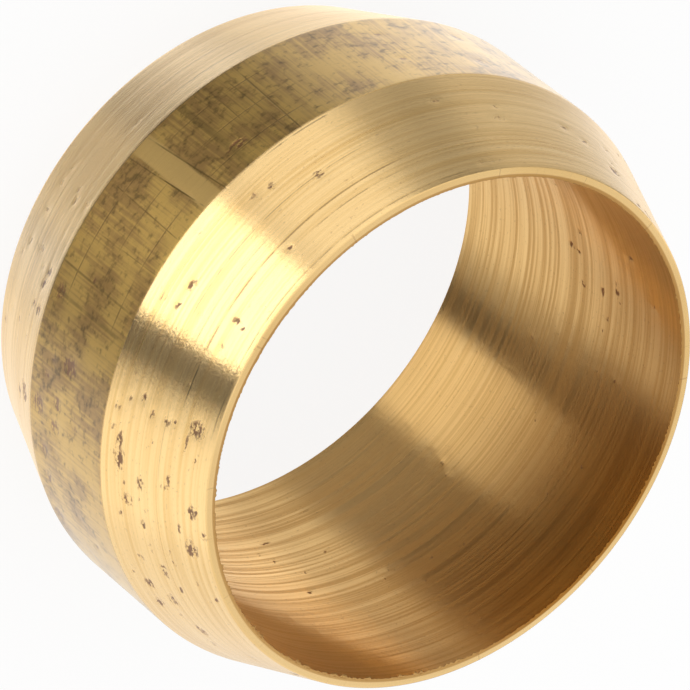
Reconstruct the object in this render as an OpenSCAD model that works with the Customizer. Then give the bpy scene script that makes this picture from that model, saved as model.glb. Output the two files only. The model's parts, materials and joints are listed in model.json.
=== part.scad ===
// Compression olive: one brass ring, turned from bar, with a cone at each end.
// It slides over a tube, and a nut then squeezes its two thin ends down onto the tube.
// The ring stands on its lower end, with its axis on Z and its origin at the middle of that end.

/* [Tube] */
// Outside diameter of the tube that the ring slides over
tube_d = 10; // [8:0.5:16]
// Gap left all round between the tube and the plain bore
tube_gap = 0.05; // [0.02:0.01:0.1]

/* [Walls] */
// Wall between the bore and the cylindrical land, where the ring is thickest
land_wall = 0.95; // [0.6:0.05:1.6]
// Wall left between the bore and the rim of each cone, as wide as the flat end face
end_wall = 0.17; // [0.12:0.01:0.4]

/* [Lengths] */
// Length of the whole ring from end face to end face
length = 7; // [5.5:0.1:10]
// Width of the cylindrical land between the two cones
land_w = 2.4; // [1:0.1:4]

/* [Edges] */
// Radius that blends the land into each cone
land_edge_r = 0.2; // [0.05:0.05:0.6]
// Radius on the outer corner of each end face
rim_edge_r = 0.04; // [0.01:0.01:0.07]
// Radius on the corner between each end face and the bore
bore_edge_r = 0.02; // [0.01:0.01:0.04]

/* [Hidden] */

// Facets round the ring, and steps along each rounded edge
$fn = 144;
EDGE_STEPS = 4;

bore_r = tube_d / 2 + tube_gap;
rim_r = bore_r + end_wall;
land_r = bore_r + land_wall;
cone_l = (length - land_w) / 2;

// Corners of the wall's section from the bore round to the land, as [point, corner radius].
// A point is its distance from the axis and its height above the ring's lower end.
lower_corners = [
    [[bore_r, 0], bore_edge_r],
    [[rim_r, 0], rim_edge_r],
    [[land_r, cone_l], land_edge_r]
];

// The upper half is the lower one seen in a mirror, in the opposite order.
upper_corners = [
    for (i = [len(lower_corners) - 1 : -1 : 0])
        [[lower_corners[i][0].x, length - lower_corners[i][0].y], lower_corners[i][1]]
];

// Unit vector from one point towards another
function towards(from, to) = (to - from) / norm(to - from);

// Points of the arc of radius r that rounds the corner p, whose neighbours are a and b.
// The arc's middle lies on the line that halves the corner, and its ends touch both sides.
function rounded_corner(a, p, b, r) =
    let (
        to_a = towards(p, a),
        to_b = towards(p, b),
        half_angle = acos(to_a * to_b) / 2,
        middle = p + towards([0, 0], to_a + to_b) * r / sin(half_angle),
        arm_a = (p + to_a * r / tan(half_angle) - middle) / r,
        arm_b = (p + to_b * r / tan(half_angle) - middle) / r,
        sweep = 180 - 2 * half_angle
    )
    [
        for (i = [0 : EDGE_STEPS])
            let (turned = sweep * i / EDGE_STEPS)
            middle + r * (sin(sweep - turned) * arm_a + sin(turned) * arm_b) / sin(sweep)
    ];

// Closed outline with every corner rounded by its own radius
function rounded_outline(corners) = [
    for (i = [0 : len(corners) - 1])
        let (
            before = corners[(i + len(corners) - 1) % len(corners)][0],
            after = corners[(i + 1) % len(corners)][0]
        )
        each rounded_corner(before, corners[i][0], after, corners[i][1])
];

// The whole ring: its section turned once round the axis
module ferrule()
    color([0.78, 0.62, 0.33])
        rotate_extrude()
            polygon(rounded_outline(concat(lower_corners, upper_corners)));

ferrule();
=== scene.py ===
# A compression olive: one ring of turned brass that stands on its lower end under soft studio light.
import json
import math
import random

import bmesh
import bpy
import numpy as np
from mathutils import Matrix, Vector, noise


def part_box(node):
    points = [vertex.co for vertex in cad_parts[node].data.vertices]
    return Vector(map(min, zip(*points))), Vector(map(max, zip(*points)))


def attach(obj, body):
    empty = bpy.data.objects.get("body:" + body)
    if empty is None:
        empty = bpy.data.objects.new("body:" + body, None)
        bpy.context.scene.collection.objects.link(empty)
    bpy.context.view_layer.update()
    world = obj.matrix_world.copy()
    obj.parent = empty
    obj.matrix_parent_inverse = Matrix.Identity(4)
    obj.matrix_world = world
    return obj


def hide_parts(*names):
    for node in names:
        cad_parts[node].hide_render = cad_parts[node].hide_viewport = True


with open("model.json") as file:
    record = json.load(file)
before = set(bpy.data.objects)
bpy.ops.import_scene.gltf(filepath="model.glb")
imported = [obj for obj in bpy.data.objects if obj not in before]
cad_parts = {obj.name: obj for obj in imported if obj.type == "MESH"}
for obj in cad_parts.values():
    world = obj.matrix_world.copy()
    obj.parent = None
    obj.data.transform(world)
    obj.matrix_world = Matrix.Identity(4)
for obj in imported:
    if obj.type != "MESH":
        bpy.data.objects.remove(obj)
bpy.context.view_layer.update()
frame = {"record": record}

# Sizes are in millimetres and angles in degrees, until a mesh is finished in metres.
MM = 0.001
MOUNTS = {mount["name"]: mount for mount in frame["record"]["mounts"]}
BORE_R = MOUNTS["tube_bore"]["dims"]["r_mm"]
LAND_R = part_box("ferrule")[1].x / MM
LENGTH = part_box("ferrule")[1].z / MM
END_WALL = 0.17
LAND_W = 2.4
RIM_R = BORE_R + END_WALL
LAND_LOW = (LENGTH - LAND_W) / 2
LAND_HIGH = LENGTH - LAND_LOW

# Roundings of the section's corners
BORE_EDGE_R = 0.02
RIM_EDGE_R = 0.04
LAND_EDGE_R = 0.2

# Mesh fineness: slices of a turn, doubled from one to all, steps in a slice, and rows along the section
SLICES = 16
RING_STEPS = 30
BURR_STEPS = 150
OUTSIDE_ROW = 0.064
BORE_ROW = 0.11

# The photograph's camera: how high it looks from, how it is turned about its own line of sight,
# and where the middle of the near mouth lies in its frame
VIEW_ELEVATION = 45.487
VIEW_ROLL = 128.787
VIEW_DISTANCE = 152.181
MOUTH_RIGHT = 1.922
MOUTH_DOWN = 1.541
LENS = 442.7

# Small dark pits and spots: azimuth, height, degrees round, millimetres up, strength
CONE_PITS = [
    (301.4, 6.58, 1.7, 0.15, 1.0), (307.4, 6.66, 1.2, 0.05, 0.8), (305.3, 6.43, 2.2, 0.03, 0.8),
    (302.8, 5.97, 1.1, 0.10, 0.7), (304.3, 4.93, 1.2, 0.10, 0.6), (308.7, 4.93, 0.8, 0.10, 0.6),
    (319.0, 6.68, 1.8, 0.09, 0.9), (323.4, 6.92, 1.2, 0.08, 0.8), (328.0, 6.60, 2.1, 0.13, 1.0),
    (324.0, 6.37, 1.3, 0.06, 0.8), (314.6, 6.18, 1.8, 0.05, 0.8), (315.9, 6.07, 0.7, 0.08, 0.8),
    (331.0, 6.05, 0.9, 0.04, 0.8), (333.4, 6.09, 0.9, 0.05, 0.8), (336.5, 5.78, 2.6, 0.08, 0.8),
    (331.5, 5.65, 1.3, 0.06, 0.7), (317.3, 5.57, 1.7, 0.07, 0.9), (326.3, 5.57, 1.2, 0.05, 0.9),
    (345.2, 5.63, 1.7, 0.11, 0.9), (350.2, 5.54, 1.1, 0.07, 0.6), (354.8, 5.73, 2.0, 0.09, 0.8),
    (361.0, 5.57, 2.2, 0.12, 0.6), (364.0, 6.32, 1.7, 0.09, 0.6), (321.9, 5.27, 1.2, 0.12, 0.9),
    (335.5, 5.33, 1.1, 0.05, 0.8), (341.9, 5.25, 1.3, 0.11, 0.9), (347.5, 5.20, 1.5, 0.10, 0.9),
    (314.4, 5.12, 2.0, 0.10, 1.0), (310.5, 5.08, 1.7, 0.06, 1.0), (325.7, 5.10, 0.7, 0.06, 0.8),
    (248.7, 5.65, 1.3, 0.11, 0.7), (256.4, 5.27, 0.9, 0.09, 0.7), (259.9, 5.18, 1.3, 0.07, 0.6),
    (279.3, 6.45, 0.9, 0.11, 0.8), (285.0, 6.43, 1.1, 0.05, 0.7), (278.7, 5.37, 1.5, 0.07, 0.9),
    (283.0, 5.33, 0.7, 0.07, 0.9), (283.2, 5.00, 1.0, 0.10, 0.6), (210.0, 5.80, 1.5, 0.06, 0.6),
]
LAND_PITS = [
    (304.4, 3.42, 1.9, 0.21, 1.0), (312.7, 3.20, 1.6, 0.16, 0.8), (317.1, 3.16, 1.5, 0.17, 0.9),
    (305.7, 2.86, 1.0, 0.11, 0.7), (308.6, 2.78, 0.8, 0.10, 0.8), (315.3, 2.58, 1.9, 0.17, 1.0),
    (314.4, 3.80, 1.2, 0.12, 0.5), (324.6, 4.30, 1.2, 0.11, 0.5), (322.7, 3.10, 1.0, 0.07, 0.5),
    (324.2, 2.74, 1.4, 0.11, 0.8), (330.3, 2.70, 1.9, 0.17, 0.8), (335.1, 3.56, 0.9, 0.11, 0.6),
    (339.7, 2.58, 1.7, 0.13, 0.9), (255.0, 4.08, 2.2, 0.10, 1.0), (288.5, 3.30, 0.7, 0.09, 0.8),
    (293.9, 2.56, 1.6, 0.13, 0.9), (219.4, 3.92, 1.0, 0.08, 0.7), (218.3, 2.94, 1.1, 0.09, 0.7),
]
FAR_PITS = [
    (293.5, 1.92, 1.5, 0.09, 0.9), (295.6, 1.84, 1.0, 0.11, 0.9), (300.2, 1.98, 1.2, 0.11, 0.8),
    (300.2, 1.71, 1.0, 0.13, 0.7), (304.3, 1.92, 1.2, 0.05, 0.6), (291.6, 1.16, 0.9, 0.19, 0.6),
    (306.4, 1.08, 0.9, 0.07, 0.6), (317.2, 1.84, 2.2, 0.17, 1.0), (319.0, 1.50, 1.9, 0.10, 0.7),
    (285.6, 0.68, 0.7, 0.09, 0.6), (292.9, 0.57, 0.9, 0.07, 0.7), (306.2, 0.65, 1.0, 0.12, 0.5),
    (311.0, 0.27, 1.6, 0.10, 0.6), (262.3, 1.58, 2.1, 0.03, 0.6), (279.3, 2.07, 0.9, 0.09, 0.5),
]
BORE_PITS = [
    (38.3, 3.63, 0.8, 0.07, 1.0), (26.6, 4.58, 0.7, 0.05, 0.8), (82.0, 2.69, 0.6, 0.09, 0.6),
    (143.5, 6.05, 0.9, 0.07, 1.0), (140.2, 4.89, 0.8, 0.10, 0.9), (142.2, 4.92, 0.7, 0.07, 0.9),
    (132.3, 4.69, 0.8, 0.06, 0.9), (137.9, 4.43, 1.4, 0.05, 0.8), (120.9, 5.24, 0.6, 0.06, 0.9),
    (136.0, 3.83, 0.8, 0.09, 0.9), (131.7, 3.83, 0.6, 0.06, 0.8), (143.5, 3.44, 0.9, 0.10, 0.9),
    (143.2, 3.69, 0.7, 0.06, 0.9), (148.8, 3.77, 0.7, 0.08, 0.8), (152.7, 5.49, 0.9, 0.12, 0.8),
    (129.0, 4.53, 0.8, 0.06, 0.6), (159.0, 3.27, 0.8, 0.09, 0.7), (46.0, 5.94, 2.2, 0.04, 0.8),
    (40.7, 1.79, 1.8, 0.03, 0.7), (54.5, 1.22, 2.0, 0.05, 0.5), (121.8, 3.30, 0.9, 0.06, 0.6),
]


def section_corners():
    """Radius, height and rounding of each corner of the wall's section, from the lower bore edge round."""
    lower = [(BORE_R, 0, BORE_EDGE_R), (RIM_R, 0, RIM_EDGE_R), (LAND_R, LAND_LOW, LAND_EDGE_R)]
    upper = [(radius, LENGTH - height, edge) for radius, height, edge in reversed(lower)]
    return lower + upper


def wall_section(bm):
    """Draws the section at azimuth 0 as one closed loop of edges, with rounded corners."""
    corners = section_corners()
    points = [bm.verts.new((radius, 0, height)) for radius, height, edge in corners]
    offsets = []
    for i, point in enumerate(points):
        before = points[i - 1].co - point.co
        after = points[(i + 1) % len(points)].co - point.co
        offsets.append(corners[i][2] / math.tan(before.angle(after) / 2))
        bm.edges.new((point, points[(i + 1) % len(points)]))
    for point, offset in zip(points, offsets):
        bmesh.ops.bevel(bm, geom=[point], offset=offset, offset_type="OFFSET", affect="VERTICES",
                        segments=4, profile=0.5, material=-1)


def divide_section(bm):
    """Cuts the straight stretches of the section into rows, finer outside than in the bore."""
    for edge in bm.edges[:]:
        in_bore = all(abs(v.co.x - BORE_R) < 1e-4 for v in edge.verts)
        row = BORE_ROW if in_bore else OUTSIDE_ROW
        cuts = round(edge.calc_length() / row) - 1
        if cuts > 0:
            bmesh.ops.subdivide_edges(bm, edges=[edge], cuts=cuts)


def spin_round(bm, steps):
    """Turns the section through one slice, doubles the slices to a whole turn and closes the surface."""
    bmesh.ops.spin(bm, geom=bm.verts[:] + bm.edges[:], cent=(0, 0, 0), axis=(0, 0, 1), dvec=(0, 0, 0),
                   angle=math.tau / SLICES, steps=steps, use_merge=False, use_normal_flip=False,
                   use_duplicate=False)
    done = 1
    while done < SLICES:
        copied = bmesh.ops.duplicate(bm, geom=bm.verts[:] + bm.edges[:] + bm.faces[:])["geom"]
        points = [part for part in copied if isinstance(part, bmesh.types.BMVert)]
        turn = Matrix.Rotation(math.tau / SLICES * done, 3, "Z")
        bmesh.ops.rotate(bm, verts=points, cent=(0, 0, 0), matrix=turn)
        done *= 2
    bmesh.ops.remove_doubles(bm, verts=bm.verts[:], dist=1e-4)
    bmesh.ops.recalc_face_normals(bm, faces=bm.faces[:])


def finish_piece(bm, name, material):
    """Makes a smooth object of a bmesh in millimetres, with its material."""
    mesh = bpy.data.meshes.new(name)
    bm.to_mesh(mesh)
    bm.free()
    mesh.materials.append(material)
    mesh.polygons.foreach_set("use_smooth", np.ones(len(mesh.polygons), bool))
    piece = bpy.data.objects.new(name, mesh)
    bpy.context.scene.collection.objects.link(piece)
    return piece


def vertex_places(mesh):
    """Positions and outward normals of a mesh's vertices, as arrays."""
    places = np.zeros(len(mesh.vertices) * 3)
    normals = np.zeros(len(mesh.vertices) * 3)
    mesh.vertices.foreach_get("co", places)
    mesh.vertices.foreach_get("normal", normals)
    return places.reshape(-1, 3), normals.reshape(-1, 3)


def pit_field(azimuth, height, pits, zone):
    """How deep each vertex of a zone lies in the pits, from 0 to 1."""
    field = np.zeros(len(azimuth))
    for at, up, half_round, half_up, strength in pits:
        turn = (azimuth - at + 180) % 360 - 180
        away = (turn / half_round) ** 2 + ((height - up) / half_up) ** 2
        field = np.maximum(field, strength * np.exp(-0.8 * away))
    return field * zone


def scattered_pits(seed, count, low, high, azimuths, half_round, half_up):
    """Seeded pits over a range of azimuths and heights, for where none is listed."""
    draw = random.Random(seed)
    pits = []
    for _ in range(count):
        at = draw.uniform(*azimuths)
        up = draw.uniform(low, high)
        size = draw.uniform(0.45, 1.2)
        pits.append((at, up, half_round * size, half_up * size, draw.uniform(0.5, 1.0)))
    return pits


def ring_pits(azimuth, height, radius):
    """The field of pits over the whole ring: those listed one by one and the scattered rest."""
    outside = radius > BORE_R + 0.06
    bore = radius < BORE_R + 0.004
    near = outside & (height > LAND_HIGH)
    land = outside & (height <= LAND_HIGH) & (height >= LAND_LOW)
    far = outside & (height < LAND_LOW)
    near_pits = CONE_PITS + scattered_pits(3, 60, 4.8, 6.9, (10, 200), 1.3, 0.07)
    near_pits += scattered_pits(4, 26, 4.8, 6.9, (300, 345), 0.8, 0.045)
    near_pits += scattered_pits(5, 22, 4.8, 6.9, (200, 300), 0.6, 0.03)
    land_pits = LAND_PITS + scattered_pits(6, 50, 2.4, 4.6, (-20, 205), 1.2, 0.11)
    far_pits = FAR_PITS + scattered_pits(7, 60, 0.15, 2.2, (-30, 200), 1.2, 0.09)
    far_pits += scattered_pits(8, 16, 0.15, 2.2, (275, 330), 0.7, 0.05)
    bore_pits = BORE_PITS + scattered_pits(9, 90, 0.3, 6.5, (0, 360), 0.5, 0.045)
    bore_pits += scattered_pits(10, 60, 2.2, 5.6, (20, 165), 0.5, 0.04)
    return (pit_field(azimuth, height, near_pits, near) + pit_field(azimuth, height, land_pits, land)
            + pit_field(azimuth, height, far_pits, far) + pit_field(azimuth, height, bore_pits, bore))


GROOVE_DEPTH = 0.0022
PIT_DEPTH = 0.012


def turned_grooves(places):
    """Depth of the cutter's marks at each vertex: fine rings that fade and return round the ring."""
    return np.array([0.5 + 0.5 * noise.noise(Vector((x * 0.16, y * 0.16, z * 17)))
                     for x, y, z in places])


def wear_ring(ring):
    """Sinks the ring's surface a little for grooves and pits, and keeps the pits for its material."""
    mesh = ring.data
    places, normals = vertex_places(mesh)
    radius = np.hypot(places[:, 0], places[:, 1])
    azimuth = np.degrees(np.arctan2(places[:, 1], places[:, 0]))
    pits = ring_pits(azimuth, places[:, 2], radius)
    flat_end = np.abs(normals[:, 2]) > 0.9
    depth = GROOVE_DEPTH * turned_grooves(places) * ~flat_end + PIT_DEPTH * pits
    places -= normals * depth[:, None]
    mesh.vertices.foreach_set("co", places.ravel())
    stain = mesh.attributes.new("stain", "FLOAT", "POINT")
    stain.data.foreach_set("value", pits.astype(np.float32))
    mesh.update()


def to_metres(piece):
    """Scales a finished mesh from millimetres to metres about the origin."""
    piece.data.transform(Matrix.Scale(MM, 4))
    piece.data.update()


def turned_ring(material):
    """The whole ring in one closed surface."""
    bm = bmesh.new()
    wall_section(bm)
    divide_section(bm)
    spin_round(bm, RING_STEPS)
    ring = finish_piece(bm, "turned_ring", material)
    wear_ring(ring)
    to_metres(ring)
    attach(ring, "root")
    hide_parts("ferrule")
    return ring


# Section of the burr on the mouth's inner edge: out from the bore's wall and down from the end face
BURR_SECTION = [(0.05, 0.014), (0.0, 0.003), (-0.016, 0.008), (-0.004, 0.035), (0.05, 0.08)]

# How far the burr's teeth reach into the bore, by azimuth
BURR_REACH = [(0, 0.045), (40, 0.050), (70, 0.030), (150, 0.025), (200, 0.012), (290, 0.015), (330, 0.035),
              (360, 0.045)]


def toothed_burr(burr):
    """Draws the burr's crest out into fine uneven teeth."""
    mesh = burr.data
    places, _ = vertex_places(mesh)
    radius = np.hypot(places[:, 0], places[:, 1])
    azimuth = np.degrees(np.arctan2(places[:, 1], places[:, 0])) % 360
    reach = np.interp(azimuth, *zip(*BURR_REACH))
    for i in np.flatnonzero(radius < BORE_R + 0.01):
        fine = noise.noise(Vector(places[i] * (17, 17, 4)))
        coarse = noise.noise(Vector(places[i] * (3.1, 3.1, 1)))
        tooth = max(0, 0.15 + fine * 1.6 + coarse * 0.8) * reach[i]
        crest = radius[i] < BORE_R - 0.01
        places[i, :2] *= 1 - tooth * (1 if crest else 0.3) / radius[i]
        places[i, 2] -= tooth * 0.25
    mesh.vertices.foreach_set("co", places.ravel())
    mesh.update()


def mouth_burr(material):
    """The fine burr that the cutter left on the inner edge of the upper mouth."""
    bm = bmesh.new()
    points = [bm.verts.new((BORE_R + out, 0, LENGTH - down)) for out, down in BURR_SECTION]
    for i, point in enumerate(points):
        bm.edges.new((points[i - 1], point))
    spin_round(bm, BURR_STEPS)
    burr = finish_piece(bm, "mouth_burr", material)
    toothed_burr(burr)
    to_metres(burr)
    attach(burr, "root")
    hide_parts("ferrule")
    return burr


class Wire:
    """An output socket that can be used in sums: each operator adds one Math node."""

    def __init__(self, net, socket):
        self.net = net
        self.socket = socket

    def other(self, output):
        """Another output of the same node."""
        return Wire(self.net, self.net.socket(self.socket.node.outputs, output))

    def math(self, operation, second=None, first=None):
        """A Math node on this value and a second one, or on a first one and this value."""
        values = {0: self if first is None else first}
        if first is not None or second is not None:
            values[1] = second if first is None else self
        return self.net.node("ShaderNodeMath", {"operation": operation}, values)

    def __add__(self, second):
        return self.math("ADD", second)

    def __radd__(self, first):
        return self.math("ADD", first=first)

    def __sub__(self, second):
        return self.math("SUBTRACT", second)

    def __rsub__(self, first):
        return self.math("SUBTRACT", first=first)

    def __mul__(self, second):
        return self.math("MULTIPLY", second)

    def __rmul__(self, first):
        return self.math("MULTIPLY", first=first)

    def __truediv__(self, second):
        return self.math("DIVIDE", second)

    def __rtruediv__(self, first):
        return self.math("DIVIDE", first=first)

    def __pow__(self, second):
        return self.math("POWER", second)

    def larger(self, second):
        """The larger of two values."""
        return self.math("MAXIMUM", second)

    def size(self):
        """The value without its sign."""
        return self.math("ABSOLUTE")


class Net:
    """A node tree that is filled by calls and expressions."""

    def __init__(self, tree):
        self.tree = tree
        tree.nodes.clear()

    def node(self, kind, settings=None, values=None, output=0):
        """Adds a node: first its settings, then the values or links of its sockets."""
        made = self.tree.nodes.new(kind)
        for name, setting in (settings or {}).items():
            setattr(made, name, setting)
        for key, value in (values or {}).items():
            self.feed(self.socket(made.inputs, key), value)
        return Wire(self, self.socket(made.outputs, output)) if made.outputs else None

    def socket(self, sockets, key):
        """Finds a socket by its place, its identifier or its name."""
        if isinstance(key, int):
            return sockets[key]
        for socket in sockets:
            if socket.identifier == key:
                return socket
        return sockets[key]

    def feed(self, socket, value):
        if isinstance(value, Wire):
            self.tree.links.new(value.socket, socket)
        else:
            socket.default_value = value

    def rise(self, value, start, end):
        """0 up to start, 1 from end on, and a smooth climb between them."""
        return self.node("ShaderNodeMapRange", {"interpolation_type": "SMOOTHSTEP"},
                         {"Value": value, "From Min": start, "From Max": end})

    def band(self, value, start, end, soft):
        """1 between start and end, with soft edges."""
        return self.rise(value, start - soft, start + soft) * (1 - self.rise(value, end - soft, end + soft))

    def noise(self, vector, scale=1.0, detail=2.0, roughness=0.5):
        return self.node("ShaderNodeTexNoise", {"noise_dimensions": "3D"},
                         {"Vector": vector, "Scale": scale, "Detail": detail, "Roughness": roughness})

    def tint(self, low, high, factor):
        """A colour between two others."""
        return self.node("ShaderNodeMix", {"data_type": "RGBA"},
                         {"Factor_Float": factor, "A_Color": low, "B_Color": high}, "Result_Color")

    def blend(self, low, high, factor):
        """A number between two others."""
        return self.node("ShaderNodeMix", {"data_type": "FLOAT"},
                         {"Factor_Float": factor, "A_Float": low, "B_Float": high}, "Result_Float")

    def mixed(self, low, high, factor):
        """One shader over another."""
        return self.node("ShaderNodeMixShader", {}, {0: factor, 1: low, 2: high})


class Place:
    """Where a shaded point lies on the ring, in millimetres, read from Object coordinates."""

    def __init__(self, net):
        self.net = net
        coordinates = net.node("ShaderNodeTexCoord", {}, {}, "Object")
        point = net.node("ShaderNodeVectorMath", {"operation": "SCALE"}, {0: coordinates, "Scale": 1 / MM})
        split = net.node("ShaderNodeSeparateXYZ", {}, {0: point})
        self.height = split.other("Z")
        self.radius = (split * split + split.other("Y") * split.other("Y")) ** 0.5
        self.ahead = split / self.radius
        self.aside = split.other("Y") / self.radius
        self.turn = self.aside.math("ARCTAN2", self.ahead) * math.degrees(1)

    def stretched(self, size_round, size_up, shift=0.0):
        """Coordinates whose unit is size_round round the ring and size_up along its axis."""
        turns = LAND_R / size_round
        values = {0: self.ahead * turns + shift, 1: self.aside * turns, 2: self.height / size_up}
        return self.net.node("ShaderNodeCombineXYZ", {}, values)

    def arc(self, start, end, soft):
        """1 between two azimuths, with soft edges. The arc doesn't run past 180 degrees."""
        return self.net.band(self.turn, signed(start), signed(end), soft)

    def round_from(self, azimuth):
        """Millimetres round the land from an azimuth."""
        return (self.turn - signed(azimuth)) * (math.radians(1) * LAND_R)

    def ring_line(self, height, start, end, half_width, fade=3.0):
        """A thin line round the ring at one height, between two azimuths."""
        away = (self.height - height).size() / half_width
        return (1 - self.net.rise(away, 0.2, 1.0)) * self.arc(start, end, fade)

    def cross_line(self, azimuth, low, high, half_width, lean=0.0):
        """A thin line along the axis, which leans by so many millimetres for each one up."""
        away = self.round_from(azimuth) - (self.height - LENGTH / 2) * lean
        away = away.size() / half_width
        return (1 - self.net.rise(away, 0.2, 1.0)) * self.net.band(self.height, low, high, 0.12)


def signed(azimuth):
    """An azimuth between -180 and 180 degrees."""
    return (azimuth + 180) % 360 - 180


BRASS = (0.90, 0.62, 0.27, 1)
BRASS_DARK = (0.78, 0.50, 0.18, 1)
BORE_PALE = (0.82, 0.54, 0.22, 1)
BORE_LOW = (0.68, 0.42, 0.15, 1)
# The next colour is painted shade: the dark brown gold that the bore's colour turns to towards its upper mouth.
BORE_PAINTED_SHADE = (0.40, 0.18, 0.035, 1)
PIT_BROWN = (0.16, 0.08, 0.035, 1)
PIT_RED = (0.30, 0.12, 0.06, 1)
TARNISH = (0.66, 0.43, 0.12, 1)
TARNISH_BROWN = (0.42, 0.25, 0.08, 1)
TARNISH_DARK = (0.15, 0.09, 0.025, 1)
STRIPE = (0.66, 0.44, 0.15, 1)

# Dark lines scratched round the ring: height, azimuth from and to, half width, strength
RING_LINES = [
    (6.20, 236, 300, 0.022, 0.55), (6.41, 237, 256, 0.018, 0.45), (5.65, 240, 284, 0.016, 0.35),
    (4.76, 237, 252, 0.022, 0.5), (6.90, 225, 300, 0.022, 0.4), (5.95, 262, 318, 0.012, 0.25),
    (4.22, 242, 262, 0.020, 0.7), (3.50, 242, 262, 0.018, 0.6), (2.80, 241, 262, 0.020, 0.7),
    (4.25, 268, 293, 0.022, 0.7), (3.52, 268, 288, 0.018, 0.6), (2.78, 268, 293, 0.022, 0.7),
    (1.75, 228, 262, 0.014, 0.4), (1.10, 240, 300, 0.014, 0.35),
]

# Dark lines across the land: azimuth, height from and to, half width, lean, strength
CROSS_LINES = [
    (244.7, 2.3, 4.7, 0.022, 0.05, 0.7), (247.0, 2.6, 4.7, 0.020, 0.0, 0.6), (255.9, 2.3, 4.7, 0.120, 0.0, 0.45),
    (262.7, 2.3, 4.7, 0.025, -0.07, 0.6), (267.4, 2.3, 4.7, 0.022, -0.07, 0.8), (273.5, 2.5, 4.6, 0.020, 0.03, 0.5),
    (289.0, 2.3, 4.7, 0.035, 0.0, 0.6), (294.0, 2.3, 4.7, 0.060, 0.0, 0.5), (250.8, 2.4, 3.6, 0.018, 0.04, 0.5),
    (281.2, 3.0, 4.7, 0.018, -0.03, 0.45),
]


def drawn_lines(place, uneven):
    """All dark lines on the ring, broken up by an uneven field."""
    marks = 0.0
    for height, start, end, half_width, strength in RING_LINES:
        line = place.ring_line(height, start, end, half_width) * strength
        marks = line if isinstance(marks, float) else marks.larger(line)
    for azimuth, low, high, half_width, lean, strength in CROSS_LINES:
        marks = marks.larger(place.cross_line(azimuth, low, high, half_width, lean) * strength)
    return marks * uneven


def brass_material():
    """Turned brass, tarnished on the land, with small brown pits, and a deep golden bore with painted shade that
    darkens it towards the upper mouth.
    """
    material = bpy.data.materials.new("turned_brass")
    material.use_nodes = True
    net = Net(material.node_tree)
    place = Place(net)

    outside = net.rise(place.radius, BORE_R + 0.03, BORE_R + 0.06)
    land = net.band(place.height, LAND_LOW, LAND_HIGH, 0.03) * outside
    stain = net.node("ShaderNodeAttribute", {"attribute_name": "stain"}, {}, "Fac")

    hairs = net.noise(place.stretched(9.0, 0.022), detail=1)
    streaks = net.noise(place.stretched(7.0, 0.07), detail=1.5)
    broad = net.noise(place.stretched(4.0, 0.4), detail=2)
    grain = net.noise(place.stretched(0.08, 0.04), detail=2)
    ragged = net.rise(net.noise(place.stretched(0.14, 0.06), detail=3, roughness=0.6), 0.36, 0.62)
    lines = drawn_lines(place, net.rise(net.noise(place.stretched(0.5, 0.5), detail=3), 0.30, 0.55))

    pit = net.rise(stain * (0.30 + ragged), 0.30, 0.80)
    flecks = net.rise(grain, 0.64, 0.72)
    shade = hairs * 0.35 + streaks * 0.65
    turned = net.tint(BRASS, BRASS_DARK, net.rise(shade * 0.7 + broad * 0.3, 0.40, 0.66))
    # Painted shade: the bore's colour darkens towards the upper mouth, most at azimuths 60 to 118, where the bore
    # lies in shade.
    painted_bore_shade = net.rise(place.height, 2.2, 7.2) * (0.5 + 0.5 * place.arc(60, 118, 14))
    bored = net.tint(BORE_PALE, BORE_LOW, net.rise(shade, 0.38, 0.64))
    bored = net.tint(bored, BORE_PAINTED_SHADE, painted_bore_shade)
    turned = net.tint(bored, turned, outside)
    turned = net.tint(turned, net.tint(PIT_BROWN, PIT_RED, broad), (pit * 0.85).larger(flecks * 0.25))
    turned = net.tint(turned, TARNISH_DARK, lines)

    scratches = net.noise(place.stretched(0.05, 1.6), detail=2)
    mottle = net.noise(place.stretched(0.16, 0.12), detail=4, roughness=0.6)
    patches = net.noise(place.stretched(0.9, 0.8, 3.0), detail=3)
    dull = net.tint(TARNISH, TARNISH_BROWN, net.rise(patches * 0.6 + scratches * 0.4, 0.40, 0.62))
    dull = net.tint(dull, TARNISH_DARK, net.rise(mottle * 0.7 + patches * 0.3, 0.50, 0.68) * 0.8)
    dull = net.tint(dull, STRIPE, place.arc(262.9, 267.1, 0.3))
    dull = net.tint(dull, net.tint(PIT_BROWN, PIT_RED, broad), pit * 0.8)
    dull = net.tint(dull, TARNISH_DARK, lines)

    height = hairs * 0.0012 + streaks * 0.0030 + grain * 0.0016 - pit * 0.003 - lines * 0.004
    relief = net.node("ShaderNodeBump", {}, {"Strength": 1.0, "Distance": MM, "Height": height})

    inside_rough = 0.28 + 0.12 * net.rise(shade, 0.36, 0.64)
    rough = net.blend(inside_rough, 0.24 + 0.05 * shade, outside) + pit * 0.25
    bright = net.node("ShaderNodeBsdfPrincipled", {}, {
        "Base Color": turned, "Metallic": 1.0, "Roughness": rough,
        "Anisotropic": 1.0, "Anisotropic Rotation": 0.25, "Normal": relief,
        "Coat Weight": outside * 0.5, "Coat Roughness": 0.25})
    tarnished = net.node("ShaderNodeBsdfPrincipled", {}, {
        "Base Color": dull, "Metallic": 1.0, "Roughness": 0.42 + mottle * 0.12, "Normal": relief,
        "Coat Weight": 0.9, "Coat Roughness": 0.3})
    surface = net.mixed(bright, tarnished, land)
    net.node("ShaderNodeOutputMaterial", {}, {"Surface": surface})
    return material


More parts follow.
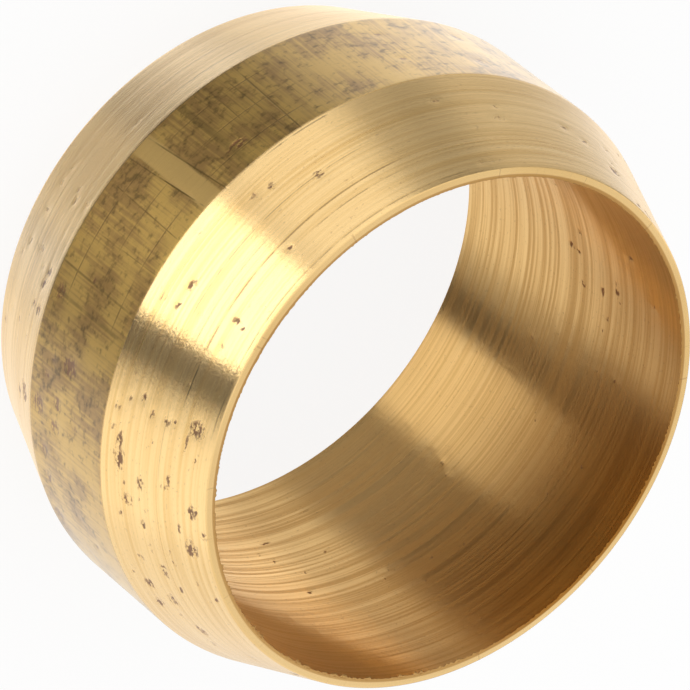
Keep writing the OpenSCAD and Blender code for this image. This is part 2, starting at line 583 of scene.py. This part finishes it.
# The studio round the ring, as seen in the brass: azimuth from and to, softness at each side,
# elevation from and to, softness, and how bright it is where plain white is 1
STUDIO = [
    ("upper", -180, 180, 0, 0, -6, 95, 2, 0.03),
    ("ceiling", -180, 180, 0, 0, 34, 95, 8, 0.5),
    ("ceiling_far", 45, 165, 15, 15, 32, 72, 8, 0.9),
    ("skylight", 175, 232, 12, 12, 22, 62, 8, 1.2),
    ("near_table", 66, 112, 13, 12, -35, -2, 7, 0.03),
    ("pale_wall", 116, 137, 6, 6, -32, 34, 8, 1.4),
    ("side_wall", 128, 202, 5, 8, -29, 18, 4, 0.48),
    ("dim_corner", 182, 213, 8, 6, -15, 14, 6, 0.05),
    ("pale_table", 114, 176, 9, 8, -53, -36, 4, 1.85),
    ("underside", 10, 181, 15, 15, -95, -70, 4, 2.4),
    ("back_low", 181, 347, 15, 15, -95, -55, 6, 0.02),
    ("dark_floor", 205, 336, 9, 8, -77, -26, 4, 0.0),
    ("left_light", 221, 252, 4, 6, -18, 11, 5, 1.45),
    ("softbox", 260, 300, 4, 1.5, -28, -8, 3, 4.8),
    ("gap", 301, 322, 1.5, 8, -64, 14, 8, 0.03),
    ("right_low", 316, 366, 5, 9, -28, -8, 4, 1.5),
]
OPEN_LEVEL = 1.1


def studio_world():
    """White where the camera looks, and a soft studio of a few broad panels where brass reflects."""
    world = bpy.data.worlds.new("studio")
    bpy.context.scene.world = world
    world.use_nodes = True
    net = Net(world.node_tree)
    direction = net.node("ShaderNodeTexCoord", {}, {}, "Generated")
    split = net.node("ShaderNodeSeparateXYZ", {}, {0: direction})
    x = split.other("X")
    y = split.other("Y")
    elevation = split.other("Z").math("ARCSINE") * math.degrees(1)

    light = OPEN_LEVEL
    for name, start, end, soft_start, soft_end, low, high, soft_up, level in STUDIO:
        middle = math.radians((start + end) / 2)
        half = (end - start) / 2
        ahead = x * math.cos(middle) + y * math.sin(middle)
        aside = y * math.cos(middle) - x * math.sin(middle)
        turn = aside.math("ARCTAN2", ahead) * math.degrees(1)
        panel = net.rise(turn, -half - soft_start, -half + soft_start)
        panel = panel * (1 - net.rise(turn, half - soft_end, half + soft_end))
        panel = panel * net.band(elevation, low, high, soft_up)
        light = net.blend(light, level, panel)
    seen = net.node("ShaderNodeLightPath", {}, {}, "Is Camera Ray")
    strength = net.blend(light, 1.0, seen)
    background = net.node("ShaderNodeBackground", {}, {"Color": (1, 1, 1, 1), "Strength": strength})
    net.node("ShaderNodeOutputWorld", {}, {"Surface": background})


def pale_floor():
    """A plain white floor that keeps the ring's soft shadow. Brass reflects the studio, not the floor."""
    bm = bmesh.new()
    bmesh.ops.create_grid(bm, x_segments=1, y_segments=1, size=2)
    mesh = bpy.data.meshes.new("floor")
    bm.to_mesh(mesh)
    bm.free()
    floor = bpy.data.objects.new("floor", mesh)
    bpy.context.scene.collection.objects.link(floor)
    material = bpy.data.materials.new("floor")
    material.use_nodes = True
    net = Net(material.node_tree)
    glow = net.node("ShaderNodeEmission", {}, {"Color": (1, 1, 1, 1), "Strength": 1.0})
    matt = net.node("ShaderNodeBsdfDiffuse", {}, {"Color": (0.9, 0.9, 0.9, 1)})
    net.node("ShaderNodeOutputMaterial", {}, {"Surface": net.mixed(glow, matt, 0.14)})
    mesh.materials.append(material)
    floor.visible_glossy = False
    floor.visible_shadow = False


def photo_camera():
    """The camera at the photograph's place and turn."""
    camera = bpy.data.objects.new("camera", bpy.data.cameras.new("camera"))
    bpy.context.scene.collection.objects.link(camera)
    bpy.context.scene.camera = camera
    camera.data.lens = LENS
    camera.data.clip_start = VIEW_DISTANCE * MM / 10
    camera.data.clip_end = VIEW_DISTANCE * MM * 10
    turn = Matrix.Rotation(math.radians(90 - VIEW_ELEVATION), 3, "X")
    turn = turn @ Matrix.Rotation(math.radians(VIEW_ROLL), 3, "Z")
    mouth = Vector((0, 0, LENGTH))
    place = mouth - turn @ Vector((MOUTH_RIGHT, -MOUTH_DOWN, -VIEW_DISTANCE))
    camera.matrix_world = Matrix.Translation(place * MM) @ turn.to_4x4()


bpy.context.scene.view_settings.view_transform = "Standard"
photo_camera()
studio_world()
pale_floor()
brass = brass_material()
turned_ring(brass)
mouth_burr(brass)
